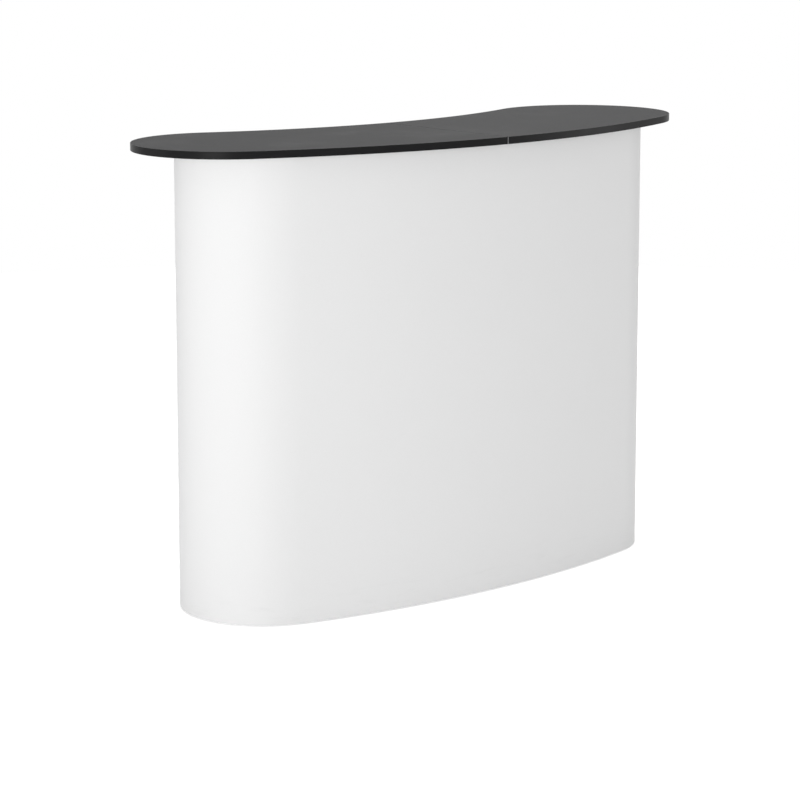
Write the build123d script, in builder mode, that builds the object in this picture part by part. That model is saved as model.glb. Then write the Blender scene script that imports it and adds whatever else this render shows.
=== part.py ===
"""Portable exhibition counter with a bean-shaped top, millimetres, +Z up.

A centre ladder frame and two side ladder frames stand behind a white wrap-around panel.
Each side frame is joined to the centre frame by a crossed pair of flat braces behind the panel.
The upper brace ends turn on hubs fixed to the front posts, the lower ends on collars that slide
on the posts, so the side frames fold in towards the centre frame. Two half tops sit on pegs
over the centre frame, and two half shelves lie on the frames at each of two levels.
The origin is on the floor, under the middle of the top's length and depth, customers at -Y.
"""

import os
from math import acos, asin, atan2, cos, degrees, hypot, radians, sin, sqrt

from build123d import *

# Overall size
counter_length = 1350.0
counter_height = 950.0

# Half tops
top_depth = 384.0
top_bend_radius = 1262.0
top_thickness = 15.0
edge_band = 1.0
top_seam_gap = 2.0

# Wrap-around panel
front_overhang = 52.0
end_overhang = 93.0
wrap_front_radius = 1894.0
wrap_end_radius = 175.5
wrap_thickness = 1.5
wrap_floor_gap = 3.0
wrap_top_gap = 3.0
tape_thickness = 1.5
tape_width = 20.0
stiffener_thickness = 2.0
stiffener_lip = 14.0
tape_gap = 0.2

# Flat bars that the panel's tapes grip
bar_thickness = 2.5
bar_width = 25.0
bar_end_margin = 12.0

# Posts, rungs and the moulded joints between them
post_radius = 12.5
post_wall = 1.5
plug_head = 5.0
plug_stem = 18.0
joint_wall = 5.5
joint_flat_cut = 1.0
sleeve_wall = 3.0
sleeve_reach = 52.0
sleeve_set_back = 10.0
rung_height = 15.0
rung_wall = 1.5
side_rung_width = 30.0
centre_rung_width = 40.0
rear_post_clearance = 4.0
rear_setback = 10.0

# Heights of the surfaces that carry the shelves
base_level = 60.0
mid_level = 480.0

# Shelves
shelf_thickness = 12.0
shelf_clearance = 3.0
shelf_seam_gap = 1.0
shelf_corner = 12.0
shelf_pin_radius = 3.0
shelf_pin_rise = 8.0
shelf_pin_from_seam = 12.0
pin_clearance = 0.3

# Seam plate with the pegs that locate the half tops
seam_plate_width = 120.0
plate_end_gap = 0.5
plate_corner = 8.0
peg_radius = 5.0
peg_rise = 9.0
peg_chamfer = 1.5
peg_shank_radius = 3.0
peg_from_seam = 40.0
cup_wall = 2.7
cup_clearance = 0.3
cup_floor = 1.0
screw_radius = 2.0
screw_head_radius = 4.0
screw_head_height = 2.0
screw_from_seam = 11.0
screw_grip = 3.0

# Crossed braces, hubs and sliding collars
brace_width = 20.0
brace_thickness = 4.0
brace_gap = 0.5
brace_end_clearance = 1.0
hub_height = 30.0
hub_below_deck = 55.0
collar_height = 34.0
collar_above_shelf = 144.0
collar_clearance = 0.5
slide_clearance = 0.3
rivet_radius = 3.0
rivet_head_radius = 5.5
rivet_head_height = 2.0
rivet_head_taper = 30.0
rivet_clearance = 0.1
fold_clearance = 6.0

# Knob that clamps the centre collar
knob_radius = 17.0
knob_thickness = 13.0
knob_lobe_radius = 5.0
knob_lobes = 6
knob_boss_radius = 9.0
knob_boss_reach = 25.0
knob_neck_radius = 8.0
knob_neck = 3.0
knob_edge = 1.5
stud_radius = 3.0
stud_clearance = 0.1

# Shares of a length along which paired pieces stand
plate_pair_shares = (0.2, 0.8)
screw_pair_shares = (0.1, 0.9)
pin_pair_shares = (0.3, 0.7)

# Plan of the half tops, from the front edge back
top_end_x = counter_length / 2 - top_depth / 2
top_sagitta = top_bend_radius - sqrt(top_bend_radius**2 - top_end_x**2)
front_y = -(top_depth + top_sagitta) / 2
top_centre_y = front_y + top_depth / 2 + top_bend_radius
top_end_y = front_y + top_depth / 2 + top_sagitta
top_rear_y = front_y + top_depth

# Plan of the panel
wrap_end_x = counter_length / 2 - end_overhang - wrap_end_radius
wrap_centre_y = front_y + front_overhang + wrap_front_radius
wrap_end_y = wrap_centre_y - sqrt((wrap_front_radius - wrap_end_radius) ** 2 - wrap_end_x**2)
wrap_inner_end_radius = wrap_end_radius - wrap_thickness

# Moulded joints and where the posts stand
joint_radius = post_radius + joint_wall
joint_flat = joint_radius - joint_flat_cut
panel_stand_off = wrap_thickness + tape_thickness + 2 * tape_gap + bar_thickness + joint_flat
side_x = wrap_end_x - stiffener_thickness - tape_thickness - tape_gap - bar_thickness - joint_flat
post_arc_radius = wrap_front_radius - panel_stand_off
centre_front_y = wrap_centre_y - post_arc_radius
side_front_y = wrap_centre_y - sqrt(post_arc_radius**2 - side_x**2)
side_turn = degrees(asin(side_x / post_arc_radius))
side_rear_y = wrap_end_y + wrap_inner_end_radius - rear_post_clearance - joint_radius
centre_rear_y = top_rear_y - rear_setback - joint_radius

# Heights
deck_level = counter_height - top_thickness
post_length = deck_level - 2 * plug_head
wrap_height = deck_level - wrap_top_gap - wrap_floor_gap
bar_height = deck_level - 2 * bar_end_margin
levels = {"top": deck_level, "mid": mid_level, "base": base_level}
joint_height = rung_height + 2 * sleeve_wall

# Brace linkage, seen along the line from the centre post to the left post
cell_length = hypot(side_x, side_front_y - centre_front_y)
cell_x = -side_x / cell_length
cell_y = (side_front_y - centre_front_y) / cell_length
pivot_offset = joint_radius + brace_width / 2 + brace_end_clearance
brace_span = cell_length - 2 * pivot_offset
hub_level = deck_level - hub_below_deck
collar_level = base_level + shelf_thickness + collar_above_shelf
brace_length = hypot(brace_span, hub_level - collar_level)
brace_angle = degrees(acos(brace_span / brace_length))
layer_outer = brace_gap / 2 + brace_thickness
folded_length = seam_plate_width / 2 + side_rung_width / 2 + sleeve_wall + fold_clearance
fold_angle = degrees(acos((folded_length - 2 * pivot_offset) / brace_length)) - brace_angle
collar_bore = post_radius + slide_clearance
collar_radius = joint_flat - collar_clearance
cell_plane = Plane(
    origin=(0, centre_front_y, 0), x_dir=(cell_x, cell_y, 0), z_dir=(cell_y, -cell_x, 0)
)

os.makedirs("parts", exist_ok=True)


def write(piece, name):
    """Labels a finished piece and writes it under that name."""
    piece.label = name
    export_step(piece, f"parts/{name}.step")


def write_pair(piece, name):
    """Writes a left-hand piece and its mirror image."""
    with BuildPart() as twin:
        mirror(piece, about=Plane.YZ)
    write(piece, f"left_{name}")
    write(twin.part, f"right_{name}")


# Half tops


def bean_line(inset):
    """Closed outline of the whole top, drawn in from its edge by inset."""
    half = top_depth / 2 - inset
    turn = degrees(atan2(top_end_y - top_centre_y, top_end_x))
    sweep = 2 * turn + 180
    CenterArc((0, top_centre_y), top_bend_radius + half, -180 - turn, sweep)
    CenterArc((top_end_x, top_end_y), half, turn, 180)
    CenterArc((0, top_centre_y), top_bend_radius - half, turn, -sweep)
    CenterArc((-top_end_x, top_end_y), half, -turn, 180)


def half_bean(inset, thickness, bottom):
    """Left half of the top outline as a slab, with its seam edge drawn in by the same inset."""
    with BuildPart() as slab:
        with BuildSketch(Plane.XY.offset(bottom)):
            with BuildLine():
                bean_line(inset)
            make_face()
        extrude(amount=thickness)
        split(bisect_by=Plane.YZ.offset(-top_seam_gap / 2 - inset), keep=Keep.BOTTOM)
    return slab.part


plate_front_y = centre_front_y + sleeve_reach + plate_end_gap
plate_length = centre_rear_y - sleeve_reach - plate_end_gap - plate_front_y
peg_places = [(-peg_from_seam, plate_front_y + share * plate_length) for share in plate_pair_shares]
cup_bore = peg_radius + cup_clearance
cup_radius = cup_bore + cup_wall
cup_depth = peg_rise + cup_floor + cup_clearance

with BuildPart() as top_board:
    add(half_bean(edge_band, top_thickness, deck_level))
    with BuildSketch(Plane.XY.offset(deck_level)):
        with Locations(*peg_places):
            Circle(cup_radius)
    extrude(amount=cup_depth, mode=Mode.SUBTRACT)
write_pair(top_board.part, "top_board")

with BuildPart() as top_edge_band:
    add(half_bean(0, top_thickness, deck_level))
    add(half_bean(edge_band, top_thickness, deck_level), mode=Mode.SUBTRACT)
write_pair(top_edge_band.part, "top_edge_band")

with BuildPart() as peg_cups:
    with BuildSketch(Plane.XY.offset(deck_level)):
        with Locations(*peg_places):
            Circle(cup_radius)
    extrude(amount=cup_depth)
    with BuildSketch(Plane.XY.offset(deck_level)):
        with Locations(*peg_places):
            Circle(cup_bore)
    extrude(amount=cup_depth - cup_floor, mode=Mode.SUBTRACT)
write_pair(peg_cups.part, "peg_cups")

# Wrap-around panel, its tapes and the stiffeners at its rear edges

wrap_turn = degrees(atan2(wrap_end_y - wrap_centre_y, wrap_end_x))
wrap_sweep = 2 * wrap_turn + 180


def wrap_line(inset):
    """Open line of the panel from its left rear edge to its right one, drawn in by inset."""
    end_radius = wrap_end_radius - inset
    end_sweep = 90 - wrap_turn
    left = CenterArc((-wrap_end_x, wrap_end_y), end_radius, 90, end_sweep)
    CenterArc((0, wrap_centre_y), wrap_front_radius - inset, -180 - wrap_turn, wrap_sweep)
    right = CenterArc((wrap_end_x, wrap_end_y), end_radius, wrap_turn, end_sweep)
    return left @ 0, right @ 1


with BuildPart() as wrap_panel:
    with BuildSketch(Plane.XY.offset(wrap_floor_gap)):
        with BuildLine():
            outer_left, outer_right = wrap_line(0)
            inner_left, inner_right = wrap_line(wrap_thickness)
            Line(outer_left, inner_left)
            Line(outer_right, inner_right)
        make_face()
    extrude(amount=wrap_height)
write(wrap_panel.part, "wrap_panel")

leg_rear_y = wrap_end_y + wrap_inner_end_radius
leg_length = leg_rear_y - side_rear_y + bar_width / 2
lip_sweep = degrees(stiffener_lip / wrap_inner_end_radius)

with BuildPart() as wrap_stiffeners:
    with BuildSketch(Plane.XY.offset(wrap_floor_gap)):
        with BuildLine():
            lip_outer = CenterArc((-wrap_end_x, wrap_end_y), wrap_inner_end_radius, 90, lip_sweep)
            lip_inner_radius = wrap_inner_end_radius - stiffener_thickness
            lip_inner = CenterArc((-wrap_end_x, wrap_end_y), lip_inner_radius, 90, lip_sweep)
            Line(lip_outer @ 0, lip_inner @ 0)
            Line(lip_outer @ 1, lip_inner @ 1)
        make_face()
        with Locations((-wrap_end_x, leg_rear_y)):
            Rectangle(stiffener_thickness, leg_length, align=(Align.MIN, Align.MAX))
    extrude(amount=wrap_height)
    mirror(about=Plane.YZ)
write(wrap_stiffeners.part, "wrap_stiffeners")

front_tape_sweep = degrees(tape_width / wrap_front_radius)
rear_tape_x = wrap_end_x - stiffener_thickness
tape_outer_radius = wrap_front_radius - wrap_thickness - tape_gap

with BuildPart() as wrap_tapes:
    for middle in (-90 - side_turn, -90, -90 + side_turn):
        with BuildSketch(Plane.XY.offset(wrap_floor_gap)):
            with BuildLine():
                start = middle - front_tape_sweep / 2
                face = CenterArc((0, wrap_centre_y), tape_outer_radius, start, front_tape_sweep)
                grip_radius = tape_outer_radius - tape_thickness
                grip = CenterArc((0, wrap_centre_y), grip_radius, start, front_tape_sweep)
                Line(face @ 0, grip @ 0)
                Line(face @ 1, grip @ 1)
            make_face()
        extrude(amount=wrap_height)
    for side in (-1, 1):
        with BuildSketch(Plane.XY.offset(wrap_floor_gap)):
            with Locations((side * (rear_tape_x - tape_thickness / 2), side_rear_y)):
                Rectangle(tape_thickness, tape_width)
        extrude(amount=wrap_height)
write(wrap_tapes.part, "wrap_tapes")

# Posts and their end plugs


def post(x, y):
    """One round tube, standing on its lower plug."""
    with BuildPart() as tube:
        with BuildSketch(Plane.XY.offset(plug_head)):
            with Locations((x, y)):
                Circle(post_radius)
                Circle(post_radius - post_wall, mode=Mode.SUBTRACT)
        extrude(amount=post_length)
    return tube.part


def post_plugs(x, front, rear):
    """The four plugs in the ends of a frame's two posts; the lower ones are the feet."""
    with BuildPart() as plugs:
        for end, inward in ((0, 1), (deck_level, -1)):
            with BuildSketch(Plane.XY.offset(end)):
                with Locations((x, front), (x, rear)):
                    Circle(post_radius)
            extrude(amount=inward * plug_head)
            with BuildSketch(Plane.XY.offset(end)):
                with Locations((x, front), (x, rear)):
                    Circle(post_radius - post_wall)
            extrude(amount=inward * plug_stem)
    return plugs.part


# Rungs and the moulded joints that carry them


def rung(x, front, rear, width, level):
    """One flat-sided tube between a frame's front and rear posts, under a carrying level."""
    length = rear - front - 2 * joint_radius
    middle = (rear + front) / 2
    with BuildPart() as tube:
        with BuildSketch(Plane.XZ.offset(-front - joint_radius)):
            with Locations((x, level - sleeve_wall - rung_height / 2)):
                Rectangle(width, rung_height)
                Rectangle(width - 2 * rung_wall, rung_height - 2 * rung_wall, mode=Mode.SUBTRACT)
        extrude(amount=-length)
        if level < deck_level and width == centre_rung_width:
            with Locations(*[(x + p, q, level - sleeve_wall) for p, q in shelf_pin_places]):
                Hole(shelf_pin_radius, depth=rung_wall)
        if level == deck_level and width == centre_rung_width:
            with Locations(*[(x + p, q, level - sleeve_wall) for p, q in screw_places]):
                Hole(screw_radius, depth=rung_wall)
    return tube.part


def joint(x, y, toward, width, level, flat):
    """One moulded joint: a ring on the post with a sleeve for the rung's end.

    The sleeve starts a little behind the post's middle. toward is 1 where the rung leaves
    backwards and -1 where it leaves forwards; flat is the plane that the ring is cut back to
    for a panel bar, or None."""
    with BuildPart() as body:
        with BuildSketch(Plane.XY.offset(level - joint_height)):
            with Locations((x, y)):
                Circle(joint_radius)
            with Locations((x, y + toward * (sleeve_set_back + sleeve_reach) / 2)):
                Rectangle(width + 2 * sleeve_wall, sleeve_reach - sleeve_set_back)
        extrude(amount=joint_height)
        with BuildSketch(Plane.XY.offset(level - joint_height)):
            with Locations((x, y)):
                Circle(post_radius)
        extrude(amount=joint_height, mode=Mode.SUBTRACT)
        with BuildSketch(Plane.XY.offset(level - sleeve_wall)):
            with Locations((x, y + toward * (joint_radius + sleeve_reach) / 2)):
                Rectangle(width, sleeve_reach - joint_radius)
        extrude(amount=-rung_height, mode=Mode.SUBTRACT)
        if flat is not None:
            split(bisect_by=flat, keep=Keep.BOTTOM)
    return body.part


def frame_joints(x, front, rear, width, front_flat, rear_flat):
    """The six moulded joints of one ladder frame."""
    with BuildPart() as joints:
        for level in levels.values():
            add(joint(x, front, 1, width, level, front_flat))
            add(joint(x, rear, -1, width, level, rear_flat))
    return joints.part


# Places that the centre rungs, the seam plate and the shelves share
screw_places = [
    (side * screw_from_seam, plate_front_y + share * plate_length)
    for side in (-1, 1)
    for share in screw_pair_shares
]
shelf_rear_y = centre_rear_y - joint_radius - shelf_clearance
chord_bulge = post_arc_radius - sqrt(post_arc_radius**2 - (cell_length / 2) ** 2)
shelf_front_radius = post_arc_radius - joint_radius - chord_bulge - shelf_clearance
shelf_front_y = wrap_centre_y - shelf_front_radius
shelf_pin_places = [
    (side * shelf_pin_from_seam, shelf_front_y + share * (shelf_rear_y - shelf_front_y))
    for side in (-1, 1)
    for share in pin_pair_shares
]

centre_flat = Plane(origin=(0, centre_front_y - joint_flat, 0), z_dir=(0, -1, 0))
side_normal = (-sin(radians(side_turn)), -cos(radians(side_turn)), 0)
side_flat_origin = (
    -side_x + joint_flat * side_normal[0],
    side_front_y + joint_flat * side_normal[1],
    0,
)
side_flat = Plane(origin=side_flat_origin, x_dir=(side_normal[1], -side_normal[0], 0), z_dir=side_normal)
side_rear_flat = Plane(origin=(-side_x - joint_flat, side_rear_y, 0), z_dir=(-1, 0, 0))

# Centre frame
write(post(0, centre_front_y), "centre_front_post")
write(post(0, centre_rear_y), "centre_rear_post")
write(post_plugs(0, centre_front_y, centre_rear_y), "centre_post_plugs")
for level_name, height in levels.items():
    centre_rung = rung(0, centre_front_y, centre_rear_y, centre_rung_width, height)
    write(centre_rung, f"centre_{level_name}_rung")
centre_joints = frame_joints(0, centre_front_y, centre_rear_y, centre_rung_width, centre_flat, None)
write(centre_joints, "centre_joints")

# Side frames
write_pair(post(-side_x, side_front_y), "front_post")
write_pair(post(-side_x, side_rear_y), "rear_post")
write_pair(post_plugs(-side_x, side_front_y, side_rear_y), "post_plugs")
for level_name, height in levels.items():
    side_rung = rung(-side_x, side_front_y, side_rear_y, side_rung_width, height)
    write_pair(side_rung, f"{level_name}_rung")
side_joints = frame_joints(
    -side_x, side_front_y, side_rear_y, side_rung_width, side_flat, side_rear_flat
)
write_pair(side_joints, "joints")


# Flat bars that the panel's tapes grip


def panel_bar(face):
    """One flat bar standing on the flats of a post's joints, face being the plane of those flats."""
    with BuildPart() as bar:
        with BuildSketch(Plane(origin=face.origin, z_dir=face.z_dir, x_dir=(0, 0, 1))):
            with Locations((deck_level / 2, 0)):
                Rectangle(bar_height, bar_width)
        extrude(amount=bar_thickness)
    return bar.part


write(panel_bar(centre_flat), "centre_front_bar")
write_pair(panel_bar(side_flat), "front_bar")
write_pair(panel_bar(side_rear_flat), "rear_bar")

# Seam plate, its screws and its pegs

with BuildPart() as seam_plate:
    with BuildSketch(Plane.XY.offset(deck_level - sleeve_wall)):
        with Locations((0, plate_front_y + plate_length / 2)):
            RectangleRounded(seam_plate_width, plate_length, plate_corner)
        with Locations(*peg_places, *[(-x, y) for x, y in peg_places]):
            Circle(peg_shank_radius, mode=Mode.SUBTRACT)
    extrude(amount=sleeve_wall)
    with Locations(*[(x, y, deck_level) for x, y in screw_places]):
        CounterBoreHole(screw_radius, screw_head_radius, screw_head_height, depth=sleeve_wall)
write(seam_plate.part, "seam_plate")

with BuildPart() as seam_plate_screws:
    with BuildSketch(Plane.XY.offset(deck_level)):
        with Locations(*screw_places):
            Circle(screw_head_radius)
    extrude(amount=-screw_head_height)
    with BuildSketch(Plane.XY.offset(deck_level)):
        with Locations(*screw_places):
            Circle(screw_radius)
    extrude(amount=-sleeve_wall - rung_wall - screw_grip)
write(seam_plate_screws.part, "seam_plate_screws")

with BuildPart() as locating_pegs:
    with BuildSketch(Plane.XY.offset(deck_level)):
        with Locations(*peg_places):
            Circle(peg_radius)
    extrude(amount=peg_rise)
    chamfer(locating_pegs.edges().group_by(Axis.Z)[-1], length=peg_chamfer)
    with BuildSketch(Plane.XY.offset(deck_level)):
        with Locations(*peg_places):
            Circle(peg_shank_radius)
    extrude(amount=-sleeve_wall)
    mirror(about=Plane.YZ)
write(locating_pegs.part, "locating_pegs")

with BuildPart() as shelf_pins:
    for level in (mid_level, base_level):
        with BuildSketch(Plane.XY.offset(level - sleeve_wall - rung_wall)):
            with Locations(*shelf_pin_places):
                Circle(shelf_pin_radius)
        extrude(amount=rung_wall + sleeve_wall + shelf_pin_rise)
write(shelf_pins.part, "shelf_pins")


# Shelves


def half_shelf(level):
    """Left half shelf: a curved board between the posts, with blind holes for the centre pins."""
    outer_x = side_x + side_rung_width / 2
    rear_side_y = side_rear_y - joint_radius - shelf_clearance
    with BuildPart() as shelf:
        with BuildSketch(Plane.XY.offset(level)):
            with BuildLine():
                turn = degrees(asin(outer_x / shelf_front_radius))
                front = CenterArc((0, wrap_centre_y), shelf_front_radius, -90 - turn, 2 * turn)
                rear = ThreePointArc(
                    (-side_x, rear_side_y), (0, shelf_rear_y), (side_x, rear_side_y)
                )
                Polyline(front @ 0, (-outer_x, rear_side_y), rear @ 0)
                Polyline(front @ 1, (outer_x, rear_side_y), rear @ 1)
            make_face()
        extrude(amount=shelf_thickness)
        fillet(shelf.edges().filter_by(Axis.Z).group_by(Axis.X)[0], radius=shelf_corner)
        split(bisect_by=Plane.YZ.offset(-shelf_seam_gap / 2), keep=Keep.BOTTOM)
        with BuildSketch(Plane.XY.offset(level)):
            with Locations(*[place for place in shelf_pin_places if place[0] < 0]):
                Circle(shelf_pin_radius + pin_clearance)
        extrude(amount=shelf_pin_rise + pin_clearance, mode=Mode.SUBTRACT)
    return shelf.part


write_pair(half_shelf(mid_level), "mid_shelf")
write_pair(half_shelf(base_level), "base_shelf")

# Crossed braces: brace a lies in front of brace b


def layer_plane(front):
    """Plane of the front face of the front or the rear layer of braces."""
    return cell_plane.offset(-layer_outer if front else brace_gap / 2)


def brace(lower, upper, front, fixed_radius, middle_radius):
    """One flat brace in the cell plane, its holes at both ends and in the middle."""
    (s0, z0), (s1, z1) = lower, upper
    with BuildPart() as strip:
        with BuildSketch(layer_plane(front)):
            with Locations(((s0 + s1) / 2, (z0 + z1) / 2)):
                tilt = degrees(atan2(z1 - z0, s1 - s0))
                SlotCenterToCenter(brace_length, brace_width, rotation=tilt)
                Circle(middle_radius, mode=Mode.SUBTRACT)
            with Locations((s0, z0), (s1, z1)):
                Circle(fixed_radius, mode=Mode.SUBTRACT)
        extrude(amount=brace_thickness)
    return strip.part


def rivets(places):
    """Round-headed rivets through both layers at places in the cell plane."""
    with BuildPart() as pins:
        with BuildSketch(cell_plane.offset(-layer_outer - rivet_clearance)):
            with Locations(*places):
                Circle(rivet_radius)
        extrude(amount=2 * (layer_outer + rivet_clearance))
        for side in (-1, 1):
            with BuildSketch(cell_plane.offset(side * (layer_outer + rivet_clearance))):
                with Locations(*places):
                    Circle(rivet_head_radius)
            extrude(amount=side * rivet_head_height, taper=rivet_head_taper)
    return pins.part


near, far = pivot_offset, cell_length - pivot_offset
middle = (cell_length / 2, (hub_level + collar_level) / 2)
turning_radius = rivet_radius + rivet_clearance
brace_a = brace((far, collar_level), (near, hub_level), True, rivet_radius, rivet_radius)
brace_b = brace((near, collar_level), (far, hub_level), False, rivet_radius, turning_radius)
write_pair(brace_a, "brace_a")
write_pair(brace_b, "brace_b")
write_pair(rivets([(far, collar_level), (near, hub_level), middle]), "brace_a_rivets")
write_pair(rivets([(near, collar_level), (far, hub_level)]), "brace_b_rivets")

# Hubs and collars


def ear(post_s, pivot_s, level, front):
    """One ear from a post to a pivot beside it, in the layer that the brace leaves free."""
    with BuildPart() as plate:
        with BuildSketch(layer_plane(front)):
            with Locations(((post_s + pivot_s) / 2, level)):
                Rectangle(abs(pivot_s - post_s), brace_width)
            with Locations((pivot_s, level)):
                Circle(brace_width / 2)
                Circle(turning_radius, mode=Mode.SUBTRACT)
        extrude(amount=brace_thickness)
    return plate.part


def ring(x, y, level, radius, bore, height, ears, flat):
    """A hub or collar round a front post, with its ears, cut back to a panel bar's plane."""
    with BuildPart() as body:
        with BuildSketch(Plane.XY.offset(level - height / 2)):
            with Locations((x, y)):
                Circle(radius)
        extrude(amount=height)
        for plate in ears:
            add(plate)
        with BuildSketch(Plane.XY.offset(level - height / 2)):
            with Locations((x, y)):
                Circle(bore)
        extrude(amount=height, mode=Mode.SUBTRACT)
        if flat is not None:
            split(bisect_by=flat, keep=Keep.BOTTOM)
    return body.part


def both_ears(level, front):
    """The centre post's two ears, one towards each side frame."""
    left = ear(0, near, level, front)
    with BuildPart() as right:
        mirror(left, about=Plane.YZ)
    return [left, right.part]


centre_hub = ring(
    0,
    centre_front_y,
    hub_level,
    joint_radius,
    post_radius,
    hub_height,
    both_ears(hub_level, False),
    centre_flat,
)
write(centre_hub, "centre_hub")

side_hub_ear = ear(cell_length, far, hub_level, True)
side_hub = ring(
    -side_x, side_front_y, hub_level, joint_radius, post_radius, hub_height, [side_hub_ear], side_flat
)
write_pair(side_hub, "hub")

side_collar_ear = ear(cell_length, far, collar_level, False)
side_collar = ring(
    -side_x,
    side_front_y,
    collar_level,
    collar_radius,
    collar_bore,
    collar_height,
    [side_collar_ear],
    None,
)
write_pair(side_collar, "collar")

knob_plane = Plane(origin=(0, centre_front_y, collar_level), z_dir=(0, 1, 0))

with BuildPart() as centre_collar:
    with BuildSketch(knob_plane):
        Circle(knob_boss_radius)
    extrude(amount=knob_boss_reach)
    add(
        ring(
            0,
            centre_front_y,
            collar_level,
            collar_radius,
            collar_bore,
            collar_height,
            both_ears(collar_level, True),
            None,
        )
    )
    with BuildSketch(Plane.XY.offset(collar_level - collar_height / 2)):
        with Locations((0, centre_front_y)):
            Circle(collar_bore)
    extrude(amount=collar_height, mode=Mode.SUBTRACT)
    with BuildSketch(knob_plane):
        Circle(stud_radius + stud_clearance)
    extrude(amount=knob_boss_reach, mode=Mode.SUBTRACT)
write(centre_collar.part, "centre_collar")

# Knob with its stud

with BuildPart() as lock_knob:
    with BuildSketch(knob_plane.offset(collar_bore)):
        Circle(stud_radius)
    extrude(amount=knob_boss_reach - collar_bore + knob_neck)
    with BuildSketch(knob_plane.offset(knob_boss_reach + slide_clearance)):
        Circle(knob_neck_radius)
    extrude(amount=knob_neck)
    with BuildSketch(knob_plane.offset(knob_boss_reach + slide_clearance + knob_neck)):
        Circle(knob_radius)
        with PolarLocations(knob_radius + knob_lobe_radius / 2, knob_lobes):
            Circle(knob_lobe_radius, mode=Mode.SUBTRACT)
    extrude(amount=knob_thickness)
    chamfer(lock_knob.edges().group_by(Axis.Y)[-1], length=knob_edge)
write(lock_knob.part, "lock_knob")
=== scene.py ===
"""Looks of the exhibition counter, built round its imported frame, in metres, +Z up."""

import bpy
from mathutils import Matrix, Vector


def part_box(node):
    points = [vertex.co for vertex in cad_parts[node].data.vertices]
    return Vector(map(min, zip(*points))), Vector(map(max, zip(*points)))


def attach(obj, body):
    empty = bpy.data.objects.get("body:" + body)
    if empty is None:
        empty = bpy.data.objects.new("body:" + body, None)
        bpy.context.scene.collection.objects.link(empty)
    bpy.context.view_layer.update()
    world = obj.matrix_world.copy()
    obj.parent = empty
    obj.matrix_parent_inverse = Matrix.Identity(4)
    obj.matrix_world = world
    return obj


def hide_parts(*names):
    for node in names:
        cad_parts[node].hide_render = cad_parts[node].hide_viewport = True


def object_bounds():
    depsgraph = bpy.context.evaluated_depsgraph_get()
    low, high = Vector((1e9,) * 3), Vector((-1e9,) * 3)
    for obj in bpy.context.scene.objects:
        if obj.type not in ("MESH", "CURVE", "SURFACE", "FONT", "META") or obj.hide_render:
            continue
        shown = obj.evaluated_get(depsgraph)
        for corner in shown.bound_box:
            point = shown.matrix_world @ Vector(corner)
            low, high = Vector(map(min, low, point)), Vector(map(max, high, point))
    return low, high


bl_info = {
    "name": "Exhibition counter looks",
    "version": (1, 0, 0),
    "blender": (4, 5, 0),
    "location": "View3D > Sidebar > Counter",
    "description": "Builds the visible pieces, finishes and studio of an exhibition counter",
    "category": "Object",
}

import math

import bmesh
import bpy
from bpy.props import FloatProperty, FloatVectorProperty, IntProperty, PointerProperty
from mathutils import Matrix, Vector

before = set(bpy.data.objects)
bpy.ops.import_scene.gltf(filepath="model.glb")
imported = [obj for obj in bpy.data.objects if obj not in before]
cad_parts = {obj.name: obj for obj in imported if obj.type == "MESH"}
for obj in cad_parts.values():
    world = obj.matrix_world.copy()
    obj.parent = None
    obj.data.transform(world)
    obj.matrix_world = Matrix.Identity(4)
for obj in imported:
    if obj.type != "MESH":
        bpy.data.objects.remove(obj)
cad_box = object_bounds()

SIDES = {"left": -1, "right": 1}
LEVELS = ("top", "mid", "base")
FRAMES = {"centre": "centre_frame", "left": "left_side_frame", "right": "right_side_frame"}
HALF_TURN = math.pi

# Corners closer than this, in metres, are one
WELD = 0.00001

# Faces that meet at less than the first are one flat face, and at more than the second a sharp edge
FLAT_ANGLE = math.radians(0.5)
SHARP_ANGLE = math.radians(25)

# How squarely a face looks sideways or up before it counts as doing so
SIDE_ON = 0.99
UPWARD = 0.9

# Corners and steps of round shapes
FASTENER_CORNERS = 28
SOCKET_CORNERS = 6
DOME_STEPS = 5
CAP_CORNERS = 32
FLOOR_CORNERS = 128

# How many times finer the long flat arcs are stepped than a half turn
PANEL_FRONT_FINENESS = 4
TOP_EDGE_FINENESS = 8

# Parts of a screw head, in turn as shares of its radius, rim, radius, socket and height
RIM_SHARE = 0.12
RIM_EASE_SHARE = 0.3
SOCKET_SHARE = 0.5
SOCKET_MOUTH_SHARE = 1.15
SOCKET_FLOOR_SHARE = 0.35

# Outline of the knob's cap as shares of its radius and rise, and how deep it is sunk
CAP_SHARES = ((1, -1), (1, 0), (0.96, 0.6), (0.6, 1), (0.2, 1.1))
CAP_SUNK_SHARE = 1.2

# Patterns that the finishes share
COARSE_GRAIN_SHARE = 0.23
FINE_HEIGHT_SHARE = 0.6
SMEAR_FINENESS = 7.0
SCUFF_STRETCH = (14.0, 14.0, 90.0)

# Where the lamps stand, in degrees: turn from straight ahead, and rise above level
LAMPS = {"front": (-56, 3), "right": (60, 3), "left": (-122, 5), "back": (140, 35), "over": (0, 90)}


# Settings that a user would change


def measure(name, description, default, unit="LENGTH"):
    """A size in metres, or a number in another unit."""
    return FloatProperty(name=name, description=description, default=default, unit=unit, precision=5)


def colour(name, description, default):
    """A colour, as red, green and blue."""
    return FloatVectorProperty(
        name=name, description=description, default=default, subtype="COLOR", size=3, min=0.0, max=1.0
    )


def share(name, description, default):
    """A number that usually lies between nought and one."""
    return FloatProperty(name=name, description=description, default=default, min=0.0)


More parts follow.
